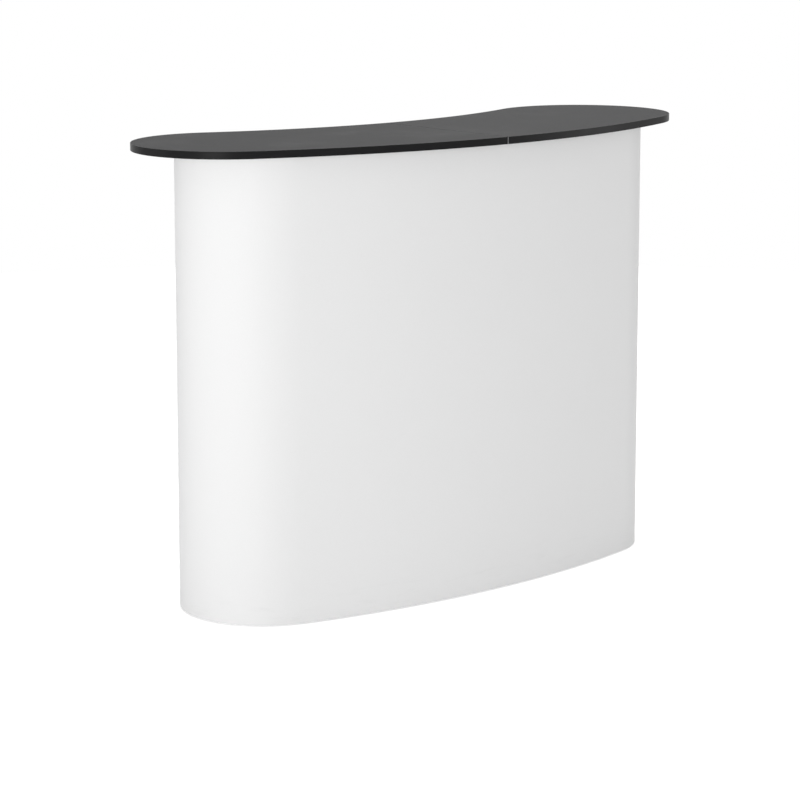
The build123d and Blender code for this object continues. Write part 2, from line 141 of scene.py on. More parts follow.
class CounterSizes(bpy.types.PropertyGroup):
    """Sizes of the pieces that are modelled here."""

    front_radius: measure("Panel front radius", "Outer radius of the panel's long front curve", 1.894)
    end_radius: measure("Panel end radius", "Outer radius of the panel's two round ends", 0.1755)
    sheet_thickness: measure("Sheet thickness", "Thickness of the panel's sheet", 0.0015)
    sheet_rounding: measure("Sheet rounding", "Rounding of the sheet's cut edges", 0.0004)
    bend_radius: measure("Top bend radius", "Radius of the top's middle line", 1.262)
    top_depth: measure("Top depth", "Depth of the top from front to back", 0.384)
    edging_thickness: measure("Edging thickness", "Thickness of the band round the top", 0.001)
    edging_rounding: measure("Edging rounding", "Rounding of the band's outer corners", 0.0008)
    seam_gap: measure("Seam gap", "Gap between the two half tops' boards and their strips", 0.002)
    black_strip_inset: measure("Black strip inset", "From the seam's middle to the black strip", 0.0004)
    seam_strip_drop: measure("Seam strip drop", "How far the light seam strip stays below the top", 0.0008)
    strip_rounding: measure("Strip rounding", "Rounding of the seam strips' edges", 0.000125)
    backing_reach: measure("Backing reach", "How far up a board's edge its backing shows", 0.0002)
    moulding_rounding: measure("Moulding rounding", "Rounding of the joints' and plugs' edges", 0.001)
    hub_rounding: measure("Hub rounding", "Rounding of the hubs' and collars' edges", 0.0005)
    bar_rounding: measure("Bar rounding", "Rounding of bars, braces and stiffeners", 0.0005)
    rung_rounding: measure("Rung rounding", "Rounding of the rungs' corners", 0.0012)
    shelf_rounding: measure("Shelf rounding", "Rounding of the shelves' edges", 0.0008)
    sleeve_wall: measure("Sleeve wall", "Wall of a joint's sleeve round its rung", 0.003)
    flank_area: measure("Flank area", "Smallest side that takes a recess", 0.0003, unit="AREA")
    recess_margin: measure("Recess margin", "Border left round the recess in a joint's sleeve", 0.003)
    recess_depth: measure("Recess depth", "Depth of the recess in a joint's sleeve", 0.0007)
    screw_radius: measure("Screw head radius", "Radius of the joint screws' heads", 0.0032)
    screw_height: measure("Screw head height", "Height of the joint screws' heads", 0.0019)
    screw_set_in: measure("Screw set-in", "Distance of a joint screw from its post's axis", 0.040)
    plate_screw_radius: measure("Plate screw radius", "Radius of the seam plate screws' heads", 0.004)
    plate_screw_height: measure("Plate screw height", "Height of the seam plate screws' heads", 0.002)
    plate_screw_length: measure("Plate screw length", "Length of the seam plate's screws", 0.0075)
    rivet_radius: measure("Rivet head radius", "Radius of the rivets' heads", 0.0055)
    rivet_rise: measure("Rivet head rise", "Height of the rivets' heads", 0.002)
    rivet_shank: measure("Rivet shank radius", "Radius of the rivets' shanks", 0.003)
    pivot_offset: measure("Pivot offset", "Distance of a brace's end pivot from its post's axis", 0.029)
    rub_fade: measure("Rub fade", "Height over which the collars' rubbing of a post fades out", 0.03)
    brace_thickness: measure("Brace thickness", "Thickness of one brace", 0.004)
    brace_gap: measure("Brace gap", "Gap between the two braces of a pair", 0.0005)
    rivet_clearance: measure("Rivet clearance", "Gap between a brace and a rivet's head", 0.0001)
    knob_cap_radius: measure("Knob cap radius", "Radius of the cap in the knob's middle", 0.0085)
    knob_cap_rise: measure("Knob cap rise", "Height of the cap's rounded top", 0.0005)
    knob_rounding: measure("Knob rounding", "Rounding of the knob's edges", 0.0005)
    curve_steps: IntProperty(name="Curve steps", description="Faces round a half turn", default=48, min=8)


class CounterColours(bpy.types.PropertyGroup):
    """Colours of the finishes."""

    laminate_left: colour("Left laminate", "Left half top's laminate", (0.058, 0.058, 0.059))
    laminate_right: colour("Right laminate", "Right half top's laminate", (0.062, 0.062, 0.063))
    backing: colour("Backing", "Underside of the half tops", (0.16, 0.16, 0.16))
    edging: colour("Edging", "Band round the half tops", (0.014, 0.014, 0.0144))
    seam_strip: colour("Seam strip", "Strip at the seam of the right half top", (0.22, 0.22, 0.22))
    sheet: colour("Sheet", "White sheet of the panel", (0.85, 0.85, 0.85))
    stiffener: colour("Stiffener", "Strips along the panel's rear edges", (0.8, 0.8, 0.8))
    tape: colour("Tape", "Grip tapes on the panel", (0.7, 0.7, 0.7))
    tube: colour("Tube", "Anodised posts and rungs", (0.60, 0.61, 0.63))
    moulding: colour("Moulding", "Moulded joints, hubs and collars", (0.028, 0.028, 0.030))
    plug: colour("Plug", "End plugs and feet", (0.022, 0.022, 0.023))
    bar: colour("Bar", "Flat bars that the panel grips", (0.56, 0.57, 0.59))
    plate: colour("Plate", "Seam plate", (0.52, 0.53, 0.55))
    steel: colour("Steel", "Screws, rivets, pegs and pins", (0.55, 0.55, 0.56))
    brace: colour("Brace", "Crossed braces", (0.58, 0.59, 0.61))
    shelf: colour("Shelf", "Shelf boards' laminate", (0.075, 0.075, 0.078))
    shelf_edge: colour("Shelf edge", "Edging of the shelves", (0.03, 0.03, 0.031))
    nylon: colour("Nylon", "Peg cups", (0.045, 0.045, 0.047))
    knob: colour("Knob", "Knob's grip", (0.02, 0.02, 0.021))
    floor: colour("Floor", "Studio floor", (0.9, 0.9, 0.9))


class CounterStudio(bpy.types.PropertyGroup):
    """The camera, and light levels as the share of white that each gives a white face turned to it."""

    front_level: share("Front level", "Light from the left of the front", 0.50)
    right_level: share("Right level", "Light from the right of the front", 0.20)
    left_level: share("Left level", "Light from behind the left end", 0.11)
    back_level: share("Back level", "Light from behind", 0.12)
    over_level: share("Overhead level", "Light from above", 0.30)
    around_level: share("Ambient level", "Even light from all round", 0.40)
    floor_glow: share("Floor glow", "Brightness that the camera sees added to the floor", 0.62)
    floor_radius: measure("Floor radius", "Radius of the round floor", 4.5)
    lamp_distance: measure("Lamp distance", "Distance of the lamps from the counter", 6.0)
    lamp_size: measure("Lamp size", "Side of each square lamp", 2.5)
    lens: measure("Lens", "Focal length", 121.857, unit="CAMERA")
    camera_place: FloatVectorProperty(
        name="Camera place",
        description="Where the camera stands",
        default=(-3.6572043, -4.2264756, 1.4947487),
        unit="LENGTH",
    )
    camera_yaw: measure("Camera yaw", "Turn to the right of straight on", 0.70242, unit="ROTATION")
    camera_pitch: measure("Camera pitch", "Tilt below level", 0.1621, unit="ROTATION")
    camera_shift: share("Camera shift", "Share of the frame by which the view is moved down", 0.12)


# Shader tools


def feed(tree, inputs, values):
    """Gives a node's inputs their values, some of which are other nodes' sockets."""
    for key, value in values.items():
        if isinstance(value, bpy.types.NodeSocket):
            tree.links.new(value, inputs[key])
        else:
            inputs[key].default_value = value


def add_node(tree, kind, values=None, **options):
    """A new shader node."""
    node = tree.nodes.new(f"ShaderNode{kind}")
    for key, value in options.items():
        setattr(node, key, value)
    feed(tree, node.inputs, values or {})
    return node


def calculate(tree, operation, first, second, clamp=False):
    """The result of one sum."""
    node = add_node(tree, "Math", {0: first, 1: second}, operation=operation, use_clamp=clamp)
    return node.outputs[0]


def noise(tree, vector, scale, detail=2.0, roughness=0.5):
    """Cloudy noise from nought to one."""
    inputs = {"Vector": vector, "Scale": scale, "Detail": detail, "Roughness": roughness}
    return add_node(tree, "TexNoise", inputs).outputs[0]


def ranged(tree, value, low, high, to_low=0.0, to_high=1.0):
    """A value moved from one range to another, smoothly and never beyond it."""
    inputs = {"Value": value, "From Min": low, "From Max": high, "To Min": to_low, "To Max": to_high}
    return add_node(tree, "MapRange", inputs, interpolation_type="SMOOTHSTEP").outputs[0]


def height_of(tree, place):
    """How high a place lies."""
    return add_node(tree, "SeparateXYZ", {0: place}).outputs["Z"]


def packed(tree, place, factors):
    """A place whose axes are packed by factors, so that marks run along the axis with the least."""
    return add_node(tree, "VectorMath", {0: place, 1: factors}, operation="MULTIPLY").outputs[0]


def grain(group, place, scale):
    """Fine even grain, as on laminate and moulded plastic."""
    fine = noise(group, place, scale)
    coarse_scale = calculate(group, "MULTIPLY", scale, COARSE_GRAIN_SHARE)
    coarse = noise(group, place, coarse_scale, detail=3.0)
    fine_part = calculate(group, "MULTIPLY", fine, FINE_HEIGHT_SHARE)
    coarse_part = calculate(group, "MULTIPLY", coarse, 1 - FINE_HEIGHT_SHARE)
    height = calculate(group, "ADD", fine_part, coarse_part)
    return {"Height": height, "Mask": ranged(group, coarse, low=0.35, high=0.65)}


def streaks(group, place, stretch):
    """Long fine lines, as drawing and brushing leave on metal; stretch packs them along each axis."""
    lines = noise(group, packed(group, place, stretch), scale=1.0, detail=4.0, roughness=0.65)
    return {"Height": lines, "Mask": ranged(group, lines, low=0.3, high=0.7)}


def handling(group, place, scale):
    """Soft patches where hands have rubbed a surface."""
    patches = ranged(group, noise(group, place, scale, detail=3.0, roughness=0.6), low=0.42, high=0.72)
    smear_scale = calculate(group, "MULTIPLY", scale, SMEAR_FINENESS)
    smears = noise(group, place, smear_scale, detail=4.0, roughness=0.7)
    return {"Mask": calculate(group, "MULTIPLY", patches, smears, clamp=True)}


def scuffs(group, place, reach):
    """Light scuffs near the floor, fading out at a reach above it."""
    way_up = calculate(group, "DIVIDE", height_of(group, place), reach)
    nearness = calculate(group, "SUBTRACT", 1.0, way_up, clamp=True)
    clouds = noise(group, packed(group, place, SCUFF_STRETCH), scale=1.0, detail=5.0, roughness=0.7)
    marks = ranged(group, clouds, low=0.52, high=0.74)
    return {"Mask": calculate(group, "MULTIPLY", nearness, marks, clamp=True)}


def new_effect(build, setting, kind):
    """A node group that takes a place and one setting, and gives what an effect builds from them."""
    group = bpy.data.node_groups.new(build.__name__, "ShaderNodeTree")
    for label, taken in (("Vector", "Vector"), (setting, kind)):
        group.interface.new_socket(name=label, in_out="INPUT", socket_type=f"NodeSocket{taken}")
    inlet = group.nodes.new("NodeGroupInput").outputs
    made = build(group, inlet["Vector"], inlet[setting])
    for label in made:
        group.interface.new_socket(name=label, in_out="OUTPUT", socket_type="NodeSocketFloat")
    outlet = group.nodes.new("NodeGroupOutput").inputs
    for label, socket in made.items():
        group.links.new(socket, outlet[label])
    return group


class Finish:
    """One material in the making: its tree, its shader and the place that its patterns follow."""

    def __init__(self, name, metallic=0.0, specular=0.5):
        self.material = bpy.data.materials.new(name)
        self.material.use_nodes = True
        self.tree = self.material.node_tree
        self.shader = self.tree.nodes["Principled BSDF"]
        feed(self.tree, self.shader.inputs, {"Metallic": metallic, "Specular IOR Level": specular})
        self.place = add_node(self.tree, "TexCoord").outputs["Object"]

    def effect(self, build, setting, kind, value):
        """What a shared effect gives at one setting: a height and a mask, or a mask alone."""
        group = bpy.data.node_groups.get(build.__name__) or new_effect(build, setting, kind)
        values = {"Vector": self.place, setting: value}
        return add_node(self.tree, "Group", values, node_tree=group).outputs

    def grain(self, scale):
        return self.effect(grain, "Scale", "Float", scale)

    def streaks(self, stretch):
        return self.effect(streaks, "Stretch", "Vector", stretch)

    def handling(self, scale):
        return self.effect(handling, "Scale", "Float", scale)[0]

    def scuffs(self, reach):
        return self.effect(scuffs, "Reach", "Float", reach)[0]

    def mixed(self, mask, first, second):
        """A colour that goes from a first to a second as a mask grows."""
        node = add_node(self.tree, "Mix", {0: mask}, data_type="RGBA")
        inputs = [socket for socket in node.inputs if socket.type == "RGBA"]
        feed(self.tree, inputs, {0: first, 1: second})
        return next(socket for socket in node.outputs if socket.type == "RGBA")

    def shaded(self, mask, tint, dark, light):
        """A tint that goes from dark times to light times itself as a mask grows."""
        return self.mixed(mask, toned(tint, dark), toned(tint, light))

    def marked(self, mask, marks, tint, dark, light, factor):
        """A shaded tint that goes to a factor of itself as marks grow."""
        return self.mixed(marks, self.shaded(mask, tint, dark, light), toned(tint, factor))

    def complete(self, colours, mask, height, roughness, relief):
        """The material, with roughness between two values as a mask grows and relief in metres."""
        bump = add_node(self.tree, "Bump", {"Height": height, "Distance": relief})
        values = {
            "Base Color": colours,
            "Roughness": ranged(self.tree, mask, 0.0, 1.0, *roughness),
            "Normal": bump.outputs["Normal"],
        }
        feed(self.tree, self.shader.inputs, values)
        return self.material


def toned(tint, factor):
    """An opaque colour: a tint made lighter or darker by a factor."""
    return (*[min(1.0, part * factor) for part in tint], 1.0)


# Finishes


def laminate(name, tint, underside, backing_top):
    """Fine-grained dark laminate, with plain backing on the board's underside."""
    finish = Finish(name, specular=0.05)
    height, mask = finish.grain(scale=2600.0)
    hands = finish.handling(scale=5.0)
    rubbed = finish.marked(mask, hands, tint, dark=0.92, light=1.08, factor=1.12)
    under = calculate(finish.tree, "LESS_THAN", height_of(finish.tree, finish.place), backing_top)
    colours = finish.mixed(under, rubbed, (*underside, 1.0))
    return finish.complete(colours, hands, height, roughness=(0.68, 0.62), relief=0.00002)


def black_edging(tint):
    """Satin black plastic band with faint trimming lines along it."""
    finish = Finish("black_edging", specular=0.04)
    height, mask = finish.streaks(stretch=(20.0, 20.0, 2500.0))
    hands = finish.handling(scale=9.0)
    colours = finish.shaded(mask, tint, dark=0.85, light=1.15)
    return finish.complete(colours, hands, height, roughness=(0.34, 0.26), relief=0.00001)


def light_strip(tint):
    """Light grey strip with a fine grain."""
    finish = Finish("light_seam_strip", specular=0.4)
    height, mask = finish.grain(scale=3000.0)
    colours = finish.shaded(mask, tint, dark=0.93, light=1.05)
    return finish.complete(colours, mask, height, roughness=(0.5, 0.6), relief=0.00001)


def white_sheet(tint):
    """White sheet with a very fine matt texture, faint waves and light scuffs near the floor."""
    scuff_strength = 0.10
    grain_share = 0.05
    finish = Finish("white_sheet", specular=0.05)
    grains, mask = finish.grain(scale=1800.0)
    hands = finish.handling(scale=3.0)
    dust = finish.scuffs(reach=0.10)
    marks = calculate(finish.tree, "MULTIPLY", dust, scuff_strength)
    colours = finish.marked(mask, marks, tint, dark=0.995, light=1.005, factor=0.55)
    waves = noise(finish.tree, finish.place, scale=3.0, detail=1.0)
    texture = calculate(finish.tree, "MULTIPLY", grains, grain_share)
    height = calculate(finish.tree, "ADD", texture, waves)
    return finish.complete(colours, hands, height, roughness=(0.52, 0.46), relief=0.0002)


def white_strip(tint):
    """White drawn plastic strip with lines along its height."""
    finish = Finish("white_strip", specular=0.4)
    height, mask = finish.streaks(stretch=(900.0, 900.0, 4.0))
    dust = finish.scuffs(reach=0.08)
    colours = finish.marked(mask, dust, tint, dark=0.96, light=1.02, factor=0.75)
    return finish.complete(colours, mask, height, roughness=(0.4, 0.5), relief=0.00003)


def grip_tape(tint):
    """White tape with rows of small hooks, and painted shade in the gaps between them."""
    finish = Finish("grip_tape", specular=0.3)
    inputs = {"Vector": finish.place, "Scale": 900.0, "Randomness": 0.35}
    hooks = add_node(finish.tree, "TexVoronoi", inputs).outputs["Distance"]
    hook_rise_and_gap_shade = ranged(finish.tree, hooks, low=0.1, high=0.6, to_low=1.0, to_high=0.0)
    hands = finish.handling(scale=12.0)
    # Painted shade: the hook mask darkens the tape in the gaps between the hooks and lightens it slightly
    # on them. The same mask also gives the hooks their height and roughness.
    colours = finish.marked(hook_rise_and_gap_shade, hands, tint, dark=0.72, light=1.05, factor=0.85)
    return finish.complete(colours, hook_rise_and_gap_shade, hook_rise_and_gap_shade, roughness=(0.9, 0.7), relief=0.0003)


def drawn_metal(name, tint, stretch, roughness, dark=0.93, light=1.05, worn=0.86, turns=()):
    """Satin metal with drawing lines. Turns lay the lines along a piece that runs askew."""
    finish = Finish(name, metallic=1.0)
    for turn in turns:
        inputs = {"Vector": finish.place, "Rotation": turn}
        finish.place = add_node(finish.tree, "Mapping", inputs, vector_type="POINT").outputs[0]
    height, mask = finish.streaks(stretch)
    hands = finish.handling(scale=8.0)
    colours = finish.marked(mask, hands, tint, dark, light, worn)
    return finish.complete(colours, mask, height, roughness, relief=0.000012)


def post_metal(tint, rubbed_to, faded_at):
    """Anodised tube, polished by the collars as far up as they slide."""
    finish = Finish("anodised_post", metallic=1.0)
    height, mask = finish.streaks(stretch=(420.0, 420.0, 5.0))
    level = height_of(finish.tree, finish.place)
    reach = ranged(finish.tree, level, rubbed_to, faded_at, to_low=1.0, to_high=0.0)
    rubbed = calculate(finish.tree, "MULTIPLY", reach, mask)
    colours = finish.marked(mask, rubbed, tint, dark=0.94, light=1.04, factor=1.18)
    return finish.complete(colours, rubbed, height, roughness=(0.36, 0.24), relief=0.000012)


def moulded(name, tint, scale, roughness, relief):
    """Moulded plastic with a spark-eroded grain, rubbed smoother where it is handled."""
    finish = Finish(name, specular=0.5)
    height, mask = finish.grain(scale)
    hands = finish.handling(scale=25.0)
    colours = finish.marked(mask, hands, tint, dark=0.85, light=1.2, factor=1.6)
    return finish.complete(colours, hands, height, roughness, relief)


def foot_rubber(tint):
    """Black plug plastic, dusty and scuffed close to the floor."""
    finish = Finish("plug_plastic", specular=0.4)
    height, mask = finish.grain(scale=1700.0)
    dust = finish.scuffs(reach=0.012)
    colours = finish.marked(mask, dust, tint, dark=0.85, light=1.2, factor=6.0)
    return finish.complete(colours, mask, height, roughness=(0.55, 0.7), relief=0.00004)


def plated_steel(tint):
    """Zinc-plated steel with a faint grain and cloudiness."""
    finish = Finish("plated_steel", metallic=1.0)
    height, mask = finish.grain(scale=2200.0)
    hands = finish.handling(scale=60.0)
    colours = finish.marked(mask, hands, tint, dark=0.9, light=1.08, factor=0.8)
    return finish.complete(colours, hands, height, roughness=(0.26, 0.4), relief=0.00001)


def shelf_laminate(tint):
    """Dark grey laminate with a light mineral fleck."""
    finish = Finish("shelf_laminate", specular=0.45)
    height, mask = finish.grain(scale=1500.0)
    hands = finish.handling(scale=7.0)
    specks = noise(finish.tree, finish.place, scale=900.0, detail=1.0)
    flecks = ranged(finish.tree, specks, low=0.66, high=0.72)
    flecked = finish.marked(mask, flecks, tint, dark=0.9, light=1.1, factor=1.7)
    colours = finish.mixed(hands, flecked, toned(tint, factor=1.25))
    return finish.complete(colours, hands, height, roughness=(0.5, 0.4), relief=0.00003)


def studio_floor(tint, glow):
    """Pale floor: it takes the counter's shadow, and the camera sees it as white."""
    material = bpy.data.materials.new("studio_floor")
    material.use_nodes = True
    tree = material.node_tree
    values = {
        "Base Color": (*tint, 1.0),
        "Roughness": 0.9,
        "Specular IOR Level": 0.0,
        "Emission Color": (1.0, 1.0, 1.0, 1.0),
        "Emission Strength": calculate(tree, "MULTIPLY", seen_directly(tree), glow),
    }
    feed(tree, tree.nodes["Principled BSDF"].inputs, values)
    return material


def seen_directly(tree):
    """One for a ray from the camera, off gloss or through glass, and nought for any other."""
    path = add_node(tree, "LightPath").outputs
    gloss = calculate(tree, "ADD", path["Is Camera Ray"], path["Is Glossy Ray"])
    return calculate(tree, "ADD", gloss, path["Is Transmission Ray"], clamp=True)


# Mesh tools


def placed(name, data):
    """A new object in the scene."""
    thing = bpy.data.objects.new(name, data)
    bpy.context.scene.collection.objects.link(thing)
    return thing


def finished(bm, name, body, materials, stands_for=()):
    """Turns a bmesh into a piece that rides on a body, with smooth faces between sharp edges."""
    mesh = bpy.data.meshes.new(name)
    bmesh.ops.recalc_face_normals(bm, faces=bm.faces)
    bm.to_mesh(mesh)
    bm.free()
    for left_over in ("custom_normal", "sharp_face"):
        if left_over in mesh.attributes:
            mesh.attributes.remove(mesh.attributes[left_over])
    piece = placed(name, mesh)
    for material in materials:
        mesh.materials.append(material)
    mesh.set_sharp_from_angle(angle=SHARP_ANGLE)
    weights = piece.modifiers.new("Face weights", "WEIGHTED_NORMAL")
    weights.keep_sharp = True
    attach(piece, body)
    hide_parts(*stands_for)
    return piece


def round_edges(bm, radius):
    """Rounds every sharp edge of a mesh."""
    sharp = [edge for edge in bm.edges if edge.is_manifold and edge.calc_face_angle() > SHARP_ANGLE]
    bmesh.ops.bevel(bm, geom=sharp, offset=radius, affect="EDGES", segments=2, profile=0.5, material=-1)


def merged_copy(node):
    """A CAD node's mesh as one closed skin with whole flat faces."""
    bm = bmesh.new()
    bm.from_mesh(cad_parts[node].data)
    bmesh.ops.remove_doubles(bm, verts=bm.verts, dist=WELD)
    bmesh.ops.dissolve_limit(bm, angle_limit=FLAT_ANGLE, verts=bm.verts, edges=bm.edges)
    for face in bm.faces:
        face.smooth = True
        face.material_index = 0
    return bm


def softened(node, name, body, material, radius):
    """A piece with a CAD node's shape and rounded edges."""
    bm = merged_copy(node)
    round_edges(bm, radius)
    return finished(bm, name, body, [material], [node])


def turned(bm, rings, place):
    """A closed round shape through rings of a radius, a height and perhaps a number of corners."""
    loops = []
    for index, (radius, height, *corners) in enumerate(rings):
        made = bmesh.ops.create_circle(
            bm,
            cap_ends=index in (0, len(rings) - 1),
            segments=corners[0] if corners else FASTENER_CORNERS,
            radius=radius,
            matrix=place @ Matrix.Translation((0, 0, height)),
        )
        loops.append(list({edge for vert in made["verts"] for edge in vert.link_edges}))
    for lower, upper in zip(loops, loops[1:]):
        bmesh.ops.bridge_loops(bm, edges=lower + upper)
    for face in bm.faces:
        face.smooth = True


def dome(radius, rise, foot, direction):
    """Rings of a flat dome that starts at the height foot and rises in a direction of 1 or -1."""
    turns = [step / DOME_STEPS * HALF_TURN / 2 for step in range(DOME_STEPS)]
    return [(radius * math.cos(turn), foot + direction * rise * math.sin(turn)) for turn in turns]


def socket_head(radius, height):
    """Rings of a screw head with a rounded rim and a six-sided socket."""
    rim = radius * RIM_SHARE
    eased = rim * RIM_EASE_SHARE
    socket = radius * SOCKET_SHARE
    return [
        (radius, 0),
        (radius, height - rim),
        (radius - eased, height - eased),
        (radius - rim, height),
        (socket * SOCKET_MOUTH_SHARE, height),
        (socket, height - rim / 2, SOCKET_CORNERS),
        (socket, height * SOCKET_FLOOR_SHARE, SOCKET_CORNERS),
    ]


def toward(point, direction):
    """A matrix that carries a shape standing on +Z to a point and turns it to a direction."""
    turn = Vector(direction).to_track_quat("Z", "Y").to_matrix().to_4x4()
    return Matrix.Translation(point) @ turn


def swept(bm, edges, arcs):
    """Sweeps a closed outline of edges through arcs of (centre, angle, steps) and caps both ends."""
    geometry = edges + list({vert for edge in edges for vert in edge.verts})
    for centre, angle, steps in arcs:
        made = bmesh.ops.spin(bm, geom=geometry, cent=centre, axis=(0, 0, 1), angle=angle, steps=steps)
        geometry = made["geom_last"]
    bmesh.ops.holes_fill(bm, edges=[edge for edge in bm.edges if edge.is_boundary], sides=0)
    for face in bm.faces:
        face.smooth = True


def upright_outline(bm, place, inner, outer, bottom, top, rounding, both_sides):
    """Outline of a thin upright strip in the radial plane, its outer or all corners rounded."""
    centre = ((inner + outer) / 2, 0, (bottom + top) / 2)
    stand = Matrix.Translation(centre) @ Matrix.Diagonal(((outer - inner) / 2, 1, (top - bottom) / 2, 1))
    upright = Matrix.Rotation(HALF_TURN / 2, 4, "X")
    bmesh.ops.create_grid(bm, x_segments=1, y_segments=1, size=1, matrix=place @ stand @ upright)
    middle = place @ Vector(centre)
    origin = place @ Vector((0, 0, centre[2]))
    outward = (middle - origin).normalized()
    corners = [v for v in bm.verts if both_sides or (v.co - middle).dot(outward) > 0]
    bmesh.ops.bevel(
        bm, geom=corners, offset=rounding, affect="VERTICES", segments=3, profile=0.5, material=-1
    )
    bmesh.ops.delete(bm, geom=bm.faces, context="FACES_ONLY")
    return list(bm.edges)


def steps_for(angle, full_steps):
    """Steps for an arc, so that a half turn has the given number."""
    return max(2, round(abs(angle) / HALF_TURN * full_steps))


def paint(nodes, material):
    """Gives carried-over CAD nodes their finish."""
    for name in nodes:
        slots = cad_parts[name].data.materials
        slots.clear()
        slots.append(material)


def settings(context):
    """The sizes and colours."""
    return context.scene.counter_sizes, context.scene.counter_colours


def middle_of(node):
    """The middle of a CAD node's box."""
    low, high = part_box(node)
    return (low + high) / 2


# Operators


class COUNTER_OT_panel(bpy.types.Operator):
    """Wrap-around panel: one smooth white sheet"""

    bl_idname = "counter.panel"
    bl_label = "Wrap-around panel"

    def execute(self, context):
        sizes, colours = settings(context)
        low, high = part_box("wrap_panel")
        end_x = high.x - sizes.end_radius
        front_centre = Vector((0, low.y + sizes.front_radius, 0))
        reach = sizes.front_radius - sizes.end_radius
        end_y = front_centre.y - math.sqrt(reach**2 - end_x**2)
        end_turn = math.atan2(front_centre.y - end_y, end_x) + HALF_TURN / 2
        front_turn = 2 * (HALF_TURN - end_turn)
        front_steps = steps_for(front_turn, PANEL_FRONT_FINENESS * sizes.curve_steps)
        end_steps = steps_for(end_turn, sizes.curve_steps)

        bm = bmesh.new()
        place = Matrix.Translation((-end_x, end_y, 0)) @ Matrix.Rotation(HALF_TURN / 2, 4, "Z")
        inner = sizes.end_radius - sizes.sheet_thickness
        outline = upright_outline(
            bm, place, inner, sizes.end_radius, low.z, high.z, sizes.sheet_rounding, both_sides=True
        )
        arcs = (
            (Vector((-end_x, end_y, 0)), end_turn, end_steps),
            (front_centre, front_turn, front_steps),
            (Vector((end_x, end_y, 0)), end_turn, end_steps),
        )
        swept(bm, outline, arcs)
        sheet = white_sheet(colours.sheet)
        finished(bm, "panel_sheet", "centre_frame", [sheet], ["wrap_panel"])
        return {"FINISHED"}


class COUNTER_OT_panel_fittings(bpy.types.Operator):
    """Stiffeners and tapes of the panel, and the flat bars that the tapes grip"""

    bl_idname = "counter.panel_fittings"
    bl_label = "Panel fittings"

    def execute(self, context):
        sizes, colours = settings(context)
        rounding = sizes.bar_rounding
        strip = white_strip(colours.stiffener)
        softened("wrap_stiffeners", "panel_stiffeners", "centre_frame", strip, rounding)
        paint(["wrap_tapes"], grip_tape(colours.tape))
        stretch = (600.0, 600.0, 5.0)
        metal = drawn_metal("bar_metal", colours.bar, stretch, roughness=(0.34, 0.46))
        bars = {"centre_front_bar": FRAMES["centre"]}
        for side in SIDES:
            bars[f"{side}_front_bar"] = FRAMES[side]
            bars[f"{side}_rear_bar"] = FRAMES[side]
        for node, body in bars.items():
            softened(node, f"{node}_strip", body, metal, rounding)
        return {"FINISHED"}


class COUNTER_OT_half_tops(bpy.types.Operator):
    """Half tops: laminate, rounded edging, the strips along the seam and the peg cups"""

    bl_idname = "counter.half_tops"
    bl_label = "Half tops"

    def execute(self, context):
        sizes, colours = settings(context)
        backing_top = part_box("left_top_board")[0].z + sizes.backing_reach
        black = black_edging(colours.edging)
        light = light_strip(colours.seam_strip)
        cups = moulded("cup_nylon", colours.nylon, scale=1500.0, roughness=(0.5, 0.35), relief=0.00002)
        for side in SIDES:
            tint = getattr(colours, f"laminate_{side}")
            face = laminate(f"{side}_laminate", tint, colours.backing, backing_top)
            paint([f"{side}_top_board"], face)
            paint([f"{side}_peg_cups"], cups)
            self.edging(sizes, side, black)
        self.seam_strip(sizes, "left", black, sizes.black_strip_inset, 0.0)
        self.seam_strip(sizes, "right", light, sizes.seam_gap / 2, sizes.seam_strip_drop)
        return {"FINISHED"}

    def edging(self, sizes, side, material):
        """The band round the curved edge, swept along the outline from the front of the seam."""
        low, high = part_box("left_top_edge_band")
        half = sizes.top_depth / 2
        end_x = -low.x - half
        sagitta = sizes.bend_radius - math.sqrt(sizes.bend_radius**2 - end_x**2)
        centre = Vector((0, low.y + half + sizes.bend_radius, 0))
        end = Vector((-end_x, low.y + half + sagitta, 0))
        seam_x = sizes.seam_gap / 2 + sizes.edging_thickness
        front = sizes.bend_radius + half
        rear = sizes.bend_radius - half
        tangent = math.asin(end_x / sizes.bend_radius)
        start = math.asin(seam_x / front)
        front_turn = start - tangent
        rear_turn = tangent - math.asin(seam_x / rear)
        steps = TOP_EDGE_FINENESS * sizes.curve_steps

        bm = bmesh.new()
        place = Matrix.Translation(centre) @ Matrix.Rotation(-HALF_TURN / 2 - start, 4, "Z")
        inner = front - sizes.edging_thickness
        outline = upright_outline(
            bm, place, inner, front, low.z, high.z, sizes.edging_rounding, both_sides=False
        )
        arcs = (
            (centre, front_turn, steps_for(front_turn, steps)),
            (end, -HALF_TURN, sizes.curve_steps),
            (centre, rear_turn, steps_for(rear_turn, steps)),
        )
        swept(bm, outline, arcs)
        if side == "right":
            bmesh.ops.scale(bm, vec=(-1, 1, 1), verts=bm.verts)
        node = f"{side}_top_edge_band"
        finished(bm, f"{side}_edging", f"{side}_half_top", [material], [node])

    def seam_strip(self, sizes, side, material, inner, drop):
        """The straight strip that closes a half top at the seam, from inner out to the board."""
        board_low, board_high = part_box(f"{side}_top_board")
        low_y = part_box("left_top_edge_band")[0].y
        top = board_high.z - drop
        outer = sizes.seam_gap / 2 + sizes.edging_thickness
        x = SIDES[side] * (inner + outer) / 2
        middle = Vector((x, low_y + sizes.top_depth / 2, (board_low.z + top) / 2))
        size = (outer - inner, sizes.top_depth, top - board_low.z, 1)
        bm = bmesh.new()
        bmesh.ops.create_cube(bm, size=1, matrix=Matrix.Translation(middle) @ Matrix.Diagonal(size))
        round_edges(bm, sizes.strip_rounding)
        finished(bm, f"{side}_seam_strip", f"{side}_half_top", [material])


